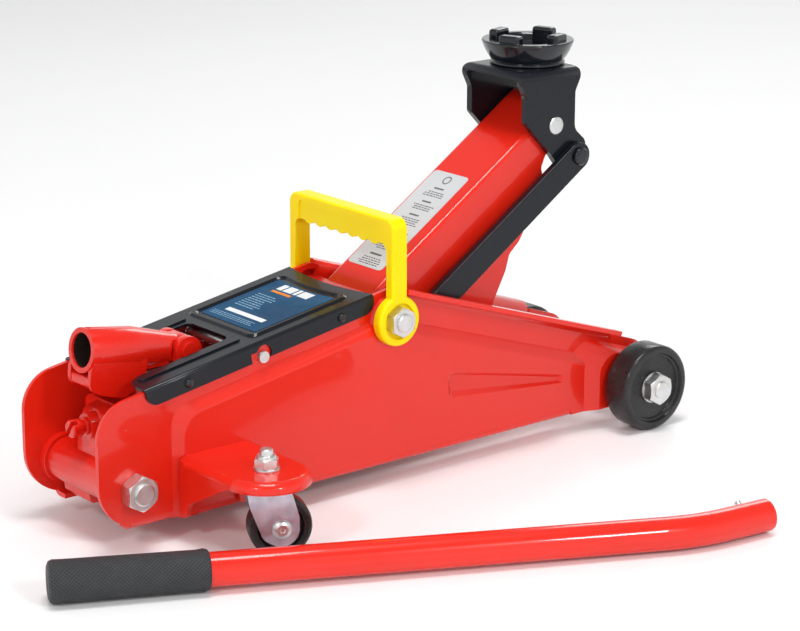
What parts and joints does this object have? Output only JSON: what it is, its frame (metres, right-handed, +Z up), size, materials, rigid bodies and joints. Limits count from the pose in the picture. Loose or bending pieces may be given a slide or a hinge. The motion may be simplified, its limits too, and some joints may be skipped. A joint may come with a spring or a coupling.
{
  "type": "hydraulic trolley jack",
  "caption": "Small red hydraulic trolley jack for cars, part raised, with its loose pump lever lying beside it.",
  "frame": {"origin": "on the floor, on the jack's mid-plane, halfway along the side plates", "axes": "+X towards the saddle and the large wheels, +Y to the left of someone who stands at the pump and looks along +X, +Z up"},
  "size_m": [0.5132, 0.3849, 0.2669],
  "materials": {
    "red_paint": "gloss enamel",
    "red_cast": "gloss enamel over a casting",
    "lever_red": "gloss enamel",
    "black_paint": "semi-gloss enamel",
    "zinc": "bright zinc plate",
    "steel": "ground steel",
    "tank_red": "gloss enamel",
    "black_rubber": "matt, fine texture",
    "wheel_black": "moulded, satin",
    "yellow_plastic": "moulded, satin gloss",
    "blue_label": "printed film",
    "white_label": "printed film"
  },
  "bodies": {
    "chassis": {"side_plate_right": "red_paint", "side_plate_left": "red_paint", "cover_plate": "black_paint", "cover_label": "blue_label", "cover_screws": "zinc", "spring_rod": "zinc", "rear_bolt": "zinc", "rear_nut": "zinc", "main_pivot_bolt": "zinc", "main_pivot_nut": "zinc", "handle_washers": "zinc", "front_axle": "zinc", "axle_spacer": "zinc", "axle_washers": "zinc", "axle_nuts": "zinc", "link_studs": "black_paint", "stud_clips": "steel", "caster_bracket_right": "red_paint", "caster_bracket_left": "red_paint", "caster_stems": "zinc", "caster_nuts": "zinc", "pump_block": "red_cast", "valve_plugs": "zinc", "reservoir_tube": "tank_red", "filler_plug": "black_rubber", "cylinder_tube": "steel", "gland_nut": "steel", "pump_sleeve": "steel", "plunger_spring": "steel", "socket_pin": "zinc", "return_springs": "steel"},
    "lift_arm": {"lift_arm": "red_paint", "arm_label": "white_label", "crank_pin": "zinc"},
    "crank_roller": {"crank_roller": "steel"},
    "link_right": {"link_right": "black_paint"},
    "link_left": {"link_left": "black_paint"},
    "saddle_bracket": {"saddle_bracket": "black_paint", "bracket_pin": "zinc", "link_rivets": "zinc"},
    "saddle": {"saddle": "black_paint", "saddle_clip": "steel"},
    "ram": {"ram": "steel", "ram_seal": "black_rubber", "ram_head": "steel"},
    "handle_socket": {"handle_socket": "red_cast"},
    "plunger": {"plunger": "steel"},
    "release_valve": {"release_valve": "zinc"},
    "front_wheel_right": {"front_wheel_right": "wheel_black"},
    "front_wheel_left": {"front_wheel_left": "wheel_black"},
    "caster_right": {"caster_fork_right": "zinc", "caster_axle_right": "zinc"},
    "caster_left": {"caster_fork_left": "zinc", "caster_axle_left": "zinc"},
    "caster_wheel_right": {"caster_wheel_right": "wheel_black"},
    "caster_wheel_left": {"caster_wheel_left": "wheel_black"},
    "carry_handle": {"carry_handle": "yellow_plastic"},
    "lever": {"lever_tube": "lever_red", "lever_grip": "black_rubber", "lever_pin": "zinc"}
  },
  "joints": [
    {"name": "arm_lift", "type": "hinge", "parent": "chassis", "child": "lift_arm", "pos_m": [-0.0095, 0, 0.108], "axis": [0, -1, 0], "range_deg": [-44.3, 28.2], "deforming": ["return_springs"]},
    {"name": "link_right_turn", "type": "hinge", "parent": "chassis", "child": "link_right", "pos_m": [0.007, -0.0327, 0.0865], "axis": [0, -1, 0], "range_deg": [-44.3, 28.2]},
    {"name": "link_left_turn", "type": "hinge", "parent": "chassis", "child": "link_left", "pos_m": [0.007, 0.0327, 0.0865], "axis": [0, -1, 0], "range_deg": [-44.3, 28.2]},
    {"name": "bracket_level", "type": "hinge", "parent": "lift_arm", "child": "saddle_bracket", "pos_m": [0.14049, 0, 0.20841], "axis": [0, -1, 0], "range_deg": [-28.2, 44.3]},
    {"name": "roller_turn", "type": "hinge", "parent": "lift_arm", "child": "crank_roller", "pos_m": [-0.00138, 0, 0.05057], "axis": [0, -1, 0], "continuous": true},
    {"name": "saddle_swivel", "type": "hinge", "parent": "saddle_bracket", "child": "saddle", "pos_m": [0.14099, 0, 0.24621], "axis": [0, 0, 1], "continuous": true},
    {"name": "ram_slide", "type": "slide", "parent": "chassis", "child": "ram", "axis": [1, 0, 0], "range_m": [-0.042, 0.0267]},
    {"name": "pump_stroke", "type": "hinge", "parent": "chassis", "child": "handle_socket", "pos_m": [-0.14, 0, 0.104], "axis": [0, 1, 0], "range_deg": [0, 45]},
    {"name": "plunger_stroke", "type": "slide", "parent": "chassis", "child": "plunger", "axis": [0, 0, 1], "range_m": [0, 0.0091], "deforming": ["plunger_spring"]},
    {"name": "release_turn", "type": "hinge", "parent": "chassis", "child": "release_valve", "pos_m": [-0.207, 0, 0.0675], "axis": [-1, 0, 0], "range_deg": [0, 270]},
    {"name": "front_wheel_right_spin", "type": "hinge", "parent": "chassis", "child": "front_wheel_right", "pos_m": [0.196, -0.0635, 0.029], "axis": [0, 1, 0], "continuous": true},
    {"name": "front_wheel_left_spin", "type": "hinge", "parent": "chassis", "child": "front_wheel_left", "pos_m": [0.196, 0.0635, 0.029], "axis": [0, 1, 0], "continuous": true},
    {"name": "caster_right_swivel", "type": "hinge", "parent": "chassis", "child": "caster_right", "pos_m": [-0.145, -0.0966, 0.05], "axis": [0, 0, 1], "continuous": true},
    {"name": "caster_wheel_right_spin", "type": "hinge", "parent": "caster_right", "child": "caster_wheel_right", "pos_m": [-0.13875, -0.09975, 0.019], "axis": [0.4493, 0.8934, 0], "continuous": true},
    {"name": "caster_left_swivel", "type": "hinge", "parent": "chassis", "child": "caster_left", "pos_m": [-0.145, 0.0966, 0.05], "axis": [0, 0, 1], "continuous": true},
    {"name": "caster_wheel_left_spin", "type": "hinge", "parent": "caster_left", "child": "caster_wheel_left", "pos_m": [-0.13875, 0.09345, 0.019], "axis": [0.4493, 0.8934, 0], "continuous": true},
    {"name": "carry_handle_fold", "type": "hinge", "parent": "chassis", "child": "carry_handle", "pos_m": [-0.0095, 0, 0.108], "axis": [0, -1, 0], "range_deg": [0, 60]},
    {"name": "lever_lift", "type": "slide", "parent": "chassis", "child": "lever", "axis": [0, 0, 1], "range_m": [0, 0.25]}
  ],
  "couplings": [
    {"joint": "link_right_turn", "follows": "arm_lift", "ratio": 1},
    {"joint": "link_left_turn", "follows": "arm_lift", "ratio": 1},
    {"joint": "bracket_level", "follows": "arm_lift", "ratio": -1},
    {"joint": "ram_slide", "follows": "arm_lift", "m_per_rad": 0.0541},
    {"joint": "plunger_stroke", "follows": "pump_stroke", "m_per_rad": 0.0115}
  ]
}
